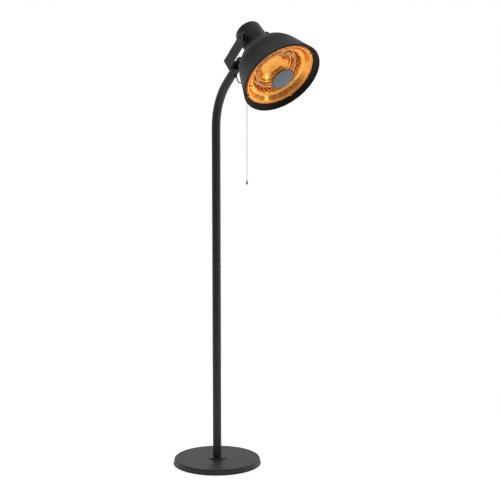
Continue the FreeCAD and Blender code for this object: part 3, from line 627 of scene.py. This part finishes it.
def routeLine(points, fineness):
    # points along the smooth spline that has these control points
    curve = bpy.data.curves.new("route", "CURVE")
    curve.dimensions = "3D"
    curve.resolution_u = fineness
    spline = curve.splines.new("NURBS")
    spline.points.add(len(points) - 1)
    spline.points.foreach_set("co", np.c_[np.array(points), np.ones(len(points))].ravel())
    spline.order_u = 3
    spline.use_endpoint_u = True
    thing = bpy.data.objects.new("route", curve)
    mesh = bpy.data.meshes.new_from_object(thing)
    line = np.empty(len(mesh.vertices) * 3)
    mesh.vertices.foreach_get("co", line)
    bpy.data.meshes.remove(mesh)
    bpy.data.objects.remove(thing)
    bpy.data.curves.remove(curve)
    return line.reshape(-1, 3)


def alongLine(line):
    return np.r_[0, np.cumsum(np.linalg.norm(np.diff(line, axis=0), axis=1))]


jumperSet = dict(
    route=[(0, -0.1487, 1.7206), (0, -0.1563, 1.7127), (0.001, -0.160, 1.700), (0.006, -0.171, 1.695),
           (0.012, -0.182, 1.702), (0.017, -0.186, 1.718), (0.023, -0.193, 1.737), (0.028, -0.206, 1.757),
           (0.026, -0.222, 1.781), (0.020, -0.2338, 1.8076), (0.020, -0.2425, 1.8185)],
    thick=0.005)


def jumperCable():
    # round jacket: a circle carried along the route
    line = routeLine(jumperSet["route"], 20)
    tube = wire(line, (1, 0, 0), jumperSet["thick"] / 2, 20)
    piece = makePiece("shortCable", [tube], lambda p: p, jacket, None, ["jumper_cable"])
    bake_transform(piece)


# thickness of the pull cord, length of one twist, and its strands; it hangs plumb at pullY
pullSet = dict(thick=0.002, pitch=0.0075, strands=3, sides=7, rowsPerTwist=10)
cordLow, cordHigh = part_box("pull_cord")
pullY = (cordLow.y + cordHigh.y) / 2


def bellAndCord():
    # three strands, each a circle carried along a helix round the plumb line
    k = pullSet
    top, bottom, half = cordHigh.z, cordLow.z, k["thick"] / 2
    route = [(0, pullY, top), (0, pullY, top * 0.7 + bottom * 0.3), (0, pullY, top * 0.3 + bottom * 0.7),
             (0, pullY, bottom)]
    line = routeLine(route, 24)
    far = alongLine(line)
    even = np.linspace(0, far[-1], int(far[-1] / k["pitch"] * k["rowsPerTwist"]))
    spine = np.stack([np.interp(even, far, line[:, axis]) for axis in range(3)], 1)
    strandR = half * 0.5
    grids, uvs = [], []
    for strand in range(k["strands"]):
        a = 2 * math.pi * (even / k["pitch"] + strand / k["strands"])
        helix = spine + (half - strandR) * np.stack([np.cos(a), np.sin(a), 0 * a], 1)
        tube = wire(helix, (1, 0, 0), strandR, k["sides"])
        rows, columns = tube[0].shape[:2]
        u = np.r_[even[0], even, even[-1]][:, None] / 0.01 + np.zeros((1, columns))
        v = np.broadcast_to(np.linspace(0, 1, columns)[None] + strand, (rows, columns))
        grids.append(tube)
        uvs.append(np.stack([u, v], -1).reshape(-1, 2))
    cord = makePiece("pullCord", grids, lambda p: p, yarn, "pull_cord", ["pull_cord"],
                     uv=np.concatenate(uvs))
    bell = pullBell()


# radii of the bell's neck, waist and mouth, its wall, how late its side flares out, ease of its top edge
bellSet = dict(neck=0.0018, waist=0.0030, mouth=0.0048, wall=0.0009, flare=2.4, ease=0.0006)


def pullBell():
    # bell outline turned about the cord: neck, shoulder, flared mouth with a rolled lip and a hollow; the
    # heights are shares of the bell's own height, the lip's size is in shares of its wall
    low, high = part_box("pull_bell")[0].z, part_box("pull_bell")[1].z
    tall = high - low
    neck, waist, mouth, wall, flare, ease = bellSet.values()
    t = np.linspace(0, 1, 24)
    side = np.stack([waist + (mouth - waist) * t ** flare, high - tall * (0.2 + 0.72 * t)], 1)
    lip = bow((mouth - wall * 0.35, low + tall * 0.045), wall * 0.7, 40, -150, 10)
    inner = np.stack([waist + (mouth - waist) * t[::-1] ** flare - wall, low + wall + tall * 0.5 * t], 1)[:-6]
    outline = np.concatenate([[(0, high)], bow((neck - ease, high - ease), ease, 90, 0, 5),
                              [(neck, high - tall * 0.08)], [(waist, high - tall * 0.14)], side, lip, inner,
                              [(0, low + tall * 0.5)]])
    return makePiece("pullBell", [turned(outline, 64, False)], upright(0, pullY), plastic, "pull_cord",
                     ["pull_bell"])


jumperCable()
bellAndCord()
print("cords made")

# radius of the spring's space, of its coil and of its wire, its turns, and how far the link presses it
springSet = dict(outerR=0.0042, coilR=0.0034, wireR=0.0004, turns=10, travel=0.008)


def returnSpring():
    # helix along the link's rod, its pitch smaller at both ends
    k = springSet
    low, high = (np.array(c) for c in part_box("switch_spring"))
    size = high - low
    tall = (size[2] - 2 * k["outerR"] * abs(headOut[2])) / headUp[2]
    t = np.linspace(0, 1, k["turns"] * 24)
    a = 2 * math.pi * k["turns"] * t
    rise = k["wireR"] + (tall - 2 * k["wireR"]) * (0.5 * t + 0.5 * (3 * t ** 2 - 2 * t ** 3)) - tall / 2
    path = (low + high) / 2 + k["coilR"] * np.cos(a)[:, None] * np.array([1.0, 0, 0])
    path = path + k["coilR"] * np.sin(a)[:, None] * headOut + rise[:, None] * headUp
    piece = makePiece("returnSpring", [wire(path, headUp, k["wireR"], 8)], lambda p: p, zinc, "head",
                      ["switch_spring"])
    foot = (low + high) / 2 - headUp * tall / 2
    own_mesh(piece)


returnSpring()
print("switch spring made")


# seat on the drum, dome, straight skirt (its slope in degrees) and rolled rim of the shade
shadeSet = dict(drumR=0.057, drumFront=0.0521, seatEdge=0.001, domeR=0.150, skirt=17.0, rimR=0.1728,
                wall=0.0012, beadR=0.0022, holeR=0.022)
skirt = math.radians(shadeSet["skirt"])
domeCentre = shadeSet["drumFront"] + math.sqrt(shadeSet["domeR"] ** 2 - shadeSet["drumR"] ** 2)
rimAt = domeCentre - shadeSet["domeR"] * math.sin(skirt) + (
    shadeSet["rimR"] - shadeSet["domeR"] * math.cos(skirt)) / math.tan(skirt)


def shadeShell():
    # dome arc, straight skirt and a rolled bead, then the same line back inside, turned about the axis
    k = shadeSet
    seat, wall, domeR, bead = k["drumFront"], k["wall"], k["domeR"], k["beadR"]
    start = math.degrees(math.atan2(seat - domeCentre, k["drumR"]))
    inner = domeR - wall
    seatIn = seat + wall
    innerAcross = math.sqrt(inner ** 2 - (domeCentre - seatIn) ** 2)
    innerStart = math.degrees(math.atan2(seatIn - domeCentre, innerAcross))
    outline = np.concatenate([
        [(k["holeR"], seat), (k["drumR"] - k["seatEdge"], seat)],
        bow((0, domeCentre), domeR, start, -k["skirt"], 40),
        bow((k["rimR"], rimAt - bead / 2), bead, -50, 160, 14),
        bow((0, domeCentre), inner, -k["skirt"], innerStart, 40),
        [(k["holeR"], seatIn)]])
    makePiece("shadeShell", [turned(outline, 256)], onHead, shadeCoatWithPaintedShade, "head", ["shade"])


# width and depth of the lip's band, its flange, how far its front edge stands behind the rim
lipSet = dict(width=0.0138, flange=0.006, depth=0.019, wall=0.0012, front=0.0032, play=0.0002, ease=0.0006,
              edgeIn=0.0016, edgeOut=0.0008, turnedIn=0.001)
seatR = shadeSet["rimR"] - lipSet["width"]
lipR = seatR - lipSet["flange"]
lipBack = rimAt - lipSet["depth"]


def lipBand():
    # flat flange with a turned-down inner edge, then a flared band out to the rim
    k = lipSet
    front = rimAt - k["front"]
    skinR = shadeSet["rimR"] - (rimAt - front) * math.tan(skirt) - shadeSet["wall"] / math.cos(skirt)
    outer, inside = skinR - k["play"], lipBack + k["wall"]
    outline = eased([
        (lipR, lipBack), (seatR, lipBack), (outer, front), (outer - k["edgeIn"], front + k["edgeOut"]),
        (seatR - k["ease"], inside), (lipR + k["turnedIn"], inside), (lipR, inside + k["wall"])], k["ease"])
    makePiece("lipBand", [turned(outline, 256)], onHead, lipCoatWithPaintedReflection, "head", ["lip_ring"])


# land, groove and flat middle of the dish: how far in each is from the last one, its width, its depth
bowlSet = dict(wall=0.0008, flange=0.014, ease=0.003, landInset=0.033, landWidth=0.014, landDepth=0.038,
               grooveInset=0.032, grooveWidth=0.026, grooveDepth=0.066, bowlInset=0.044, bowlDepth=0.092)
landR = lipR - bowlSet["landInset"]
landS = rimAt - bowlSet["landDepth"]
grooveR = landR - bowlSet["grooveInset"]
grooveS = rimAt - bowlSet["grooveDepth"]
bowlR = grooveR - bowlSet["bowlInset"]
bowlS = rimAt - bowlSet["bowlDepth"]


def bezier(a, b, c, count):
    t = np.linspace(0, 1, count)[:, None]
    a, b, c = np.array(a), np.array(b), np.array(c)
    return (1 - t) ** 2 * a + 2 * t * (1 - t) * b + t ** 2 * c


def reflectorBowl():
    # stepped dish: rim flange, cone, flat land, cone, groove for the lamp, cone and flat middle; the slopes
    # and corners are quadratic curves, each given by its ends and the corner between them; the small offsets
    # in metres set how sharp each corner is
    inner, outer = landR - bowlSet["landWidth"] / 2, landR + bowlSet["landWidth"] / 2
    near, far = grooveR - bowlSet["grooveWidth"] / 2, grooveR + bowlSet["grooveWidth"] / 2
    edge, ease = seatR - 0.001, bowlSet["ease"]
    brim = edge - bowlSet["flange"]
    front = np.concatenate([
        [(edge, lipBack), (brim, lipBack)],
        bezier((brim - ease, lipBack - 0.001), (outer + 0.004, landS + 0.006), (outer, landS), 22),
        bezier((inner, landS), (inner - ease, landS - 0.001), (far + 0.004, grooveS + 0.012), 10),
        bezier((far + ease, grooveS + 0.008), (far, grooveS), (far - ease, grooveS), 8),
        bezier((near + ease, grooveS), (near, grooveS), (near - 0.005, grooveS - 0.009), 8),
        bezier((near - 0.012, grooveS - 0.013), (bowlR + 0.006, bowlS + 0.001), (bowlR, bowlS), 10),
        [(bowlR * 0.6, bowlS), (bowlR * 0.25, bowlS), (0, bowlS)]])
    back = front[::-1] - np.array([0, bowlSet["wall"]])
    makePiece("reflectorBowl", [turned(np.concatenate([front, back]), 256)], onHead, gold, "head",
              ["reflector"], crease=60.0)


shadeShell()
lipBand()
reflectorBowl()
print("shade, lip and reflector made")


# turns of the lamp's coil, its radius and wire, height over the groove, gap between its ends in degrees
coilSet = dict(turns=150, rowsPerTurn=12, coilR=0.0021, wireR=0.00035, rise=0.013, gap=30.0)
lampS = grooveS + coilSet["rise"]


def heatingCoil():
    # helix bent round the ring: distance from the axis and height follow the coil's own angle
    k = coilSet
    t = np.linspace(0, 1, k["turns"] * k["rowsPerTurn"])
    way = np.radians(90 + k["gap"] / 2 + (360 - k["gap"]) * t)
    a = 2 * math.pi * k["turns"] * t
    r = grooveR + k["coilR"] * np.cos(a)
    path = np.stack([r * np.cos(way), r * np.sin(way), lampS + k["coilR"] * np.sin(a)], 1)
    ahead = np.stack([-np.sin(way), np.cos(way), 0 * t], 1)
    makePiece("heatingCoil", [wire(path, ahead, k["wireR"], 5)], onHead, tungsten, "head",
              ["lamp_filament"])


# outer and inner wire of the guard, its thin hoops and spokes, and the bulge between the two wires
guardSet = dict(inset=0.0055, wireR=0.002, thinR=0.0005, hubR=0.042, hubRise=0.0045, hoopInset=0.0175,
                hoopStep=0.014, hoops=6, spokes=24, bulge=0.004)
guardR = lipR - guardSet["inset"]
guardS = lipBack + guardSet["wireR"]
hubS = rimAt + guardSet["hubRise"]


def guardLine(r):
    # height at radius r: straight slope plus a shallow bulge
    part = (r - guardSet["hubR"]) / (guardR - guardSet["hubR"])
    return hubS + (guardS - hubS) * part + guardSet["bulge"] * 4 * part * (1 - part)


def wireGuard():
    # hoops are circles on that slope; spokes run down it from the inner wire to the outer one
    k = guardSet
    grids = [wire(hoopPath(guardR, guardS), (0, 0, 1), k["wireR"], 10, True),
             wire(hoopPath(k["hubR"], hubS), (0, 0, 1), k["wireR"], 10, True)]
    for i in range(k["hoops"]):
        r = guardR - k["hoopInset"] - k["hoopStep"] * i
        grids.append(wire(hoopPath(r, guardLine(r) + k["thinR"] * 1.2), (0, 0, 1), k["thinR"], 8, True))
    r = np.linspace(k["hubR"], guardR, 16)
    for a in np.radians(np.arange(k["spokes"]) * 360.0 / k["spokes"]):
        path = np.stack([r * math.cos(a), r * math.sin(a), guardLine(r)], 1)
        grids.append(wire(path, (-math.sin(a), math.cos(a), 0), k["thinR"], 8))
    makePiece("wireGuard", grids, onHead, goldWire, "head", ["guard"])


# the cap's radius, thickness, dome and rounded edge; its fine turned line; the blind hole in its back
capSet = dict(radius=0.050, thick=0.002, dome=0.0022, edge=0.0007, lineDeep=0.00035, lineWide=0.0006,
              lineAt=0.93, holeR=0.002, holeDeep=0.001)


def centreCap():
    # shallow dome, a parabola in r less a narrow bell curve for the line, with a rounded edge
    k = capSet
    back = hubS + guardSet["wireR"]
    r = np.linspace(0, k["radius"] - k["edge"], 60)
    rise = back + k["thick"] + k["dome"] * (1 - (r / k["radius"]) ** 2)
    line = k["lineDeep"] * np.exp(-((r - k["radius"] * k["lineAt"]) / k["lineWide"]) ** 2)
    top = np.stack([r, rise - line], 1)
    edge = bow((k["radius"] - k["edge"], back + k["thick"] - k["edge"]), k["edge"], 80, 0, 6)
    hole, sunk = k["holeR"], back + k["holeDeep"]
    outline = np.concatenate([top, edge, [(k["radius"], back), (hole, back), (hole, sunk), (0, sunk)]])
    makePiece("centreCap", [turned(outline, 160, False)], onHead, enamel, "head",
              ["centre_cap"])


# head of a screw: radius, height, how much of the height is its straight side, and its cross-shaped recess
screwSet = dict(headR=0.0030, headHeight=0.0021, side=0.62, slotDepth=0.0011, slotHalf=0.00045,
                slotLong=0.0017)


def screwHeads(name, places, seat, steel, replaced):
    # domed heads: an elliptic dome on a straight side, less a cross-shaped recess
    k = screwSet
    r = np.r_[np.linspace(0, k["headR"], 16), k["headR"], 0][None, :]
    a = np.linspace(0, 2 * math.pi, 48, endpoint=False)[:, None]
    x, y = r * np.cos(a), r * np.sin(a)
    curve = np.sqrt(np.clip(1 - (r / k["headR"]) ** 2, 0, 1))
    dome = k["headHeight"] * (k["side"] + (1 - k["side"]) * curve)

    def slot(u, v):
        return (np.abs(u) < k["slotHalf"]) & (np.abs(v) < k["slotLong"])
    height = dome - k["slotDepth"] * (slot(x, y) | slot(y, x))
    height[:, -2:] = 0
    grids = []
    for px, py in places:
        grids.append((np.stack([x + px, y + py, height + seat + 0 * x], -1), True, False))
    makePiece(name, grids, onHead, steel, "head", [replaced], crease=30.0)


def around(radius, degrees):
    return [(radius * math.cos(math.radians(d)), radius * math.sin(math.radians(d))) for d in degrees]


# where the dish's screws and the guard's clips stand round the axis, in degrees, and the clips' thickness
holderSet = dict(dish=(-23, 97, 217), clips=(45, 135, 225, 315), clipWall=0.0012)
heatingCoil()
wireGuard()
centreCap()
screwHeads("reflectorScrews", around(landR, holderSet["dish"]), landS, darkSteel, "reflector_screws")
screwHeads("clipScrews", around((lipR + seatR) / 2, holderSet["clips"]),
           lipBack + lipSet["wall"] + holderSet["clipWall"], yellowZinc, "clip_screws")
print("lamp, guard, cap and screws made")


# flutes round the knob's edge, the recess in its face and the bolt head in the recess
knobSet = dict(radius=0.016, thick=0.011, flutes=12, flute=0.0013, gripFrom=0.011, gripOver=0.004,
               recessR=0.007, recess=0.0045, hexR=0.0042, hexHigh=0.0028, ease=0.0018)


def clampKnob(name, side, body, replaced):
    # outline turned about the tilt axis, its outer part drawn in by the flutes; the bolt's head is six-sided,
    # its radius at angle b being that of a hexagon
    k = knobSet
    low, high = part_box(replaced)
    back = low.x if side > 0 else high.x
    centre = np.array(joints["head_tilt"]["pos_m"])
    outline = eased([(0.0, 0.0), (k["radius"] - 0.002, 0.0), (k["radius"], 0.002), (k["radius"], k["thick"]),
                     (k["recessR"], k["thick"]), (k["recessR"], k["thick"] - k["recess"]),
                     (0.0, k["thick"] - k["recess"])], k["ease"], 6)
    outline[:, 0] = np.maximum(outline[:, 0], 0)
    a = np.linspace(0, 2 * math.pi, 240, endpoint=False)[:, None]
    r, s = outline[None, :, 0], outline[None, :, 1]
    outerShare = np.clip((r - k["gripFrom"]) / k["gripOver"], 0, 1)
    dip = k["flute"] * np.clip(np.cos(a * k["flutes"]), 0, 1) ** 1.5 * outerShare
    grip = np.stack([(r - dip) * np.cos(a), (r - dip) * np.sin(a), s + 0 * a], -1)
    b = np.linspace(0, 2 * math.pi, 48, endpoint=False)[:, None]
    across = k["hexR"] * math.cos(math.pi / 6) / np.cos((b + math.pi / 6) % (math.pi / 3) - math.pi / 6)
    floor = k["thick"] - k["recess"]
    share = np.array([[0, 0.45, 0.5, 0.86, 1.0, 1.0, 0.0]])
    rise = np.array([[0.35, 0.35, 1.0, 1.0, 0.88, 0.0, 0.0]]) * k["hexHigh"]
    socket = np.stack([across * share * np.cos(b), across * share * np.sin(b), floor + rise + 0 * b], -1)

    def place(p):
        return centre * np.array([0, 1, 1]) + np.stack([back + side * p[..., 2], p[..., 0], p[..., 1]], -1)
    makePiece(name, [(grip, True, True)], place, plastic, body, [replaced])
    makePiece(name + "Bolt", [(socket, True, False)], place, darkSteel, body)


clampKnob("clampKnobRight", 1, "right_knob", "knob_right")
clampKnob("clampKnobLeft", -1, "left_knob", "knob_left")
print("knobs made")
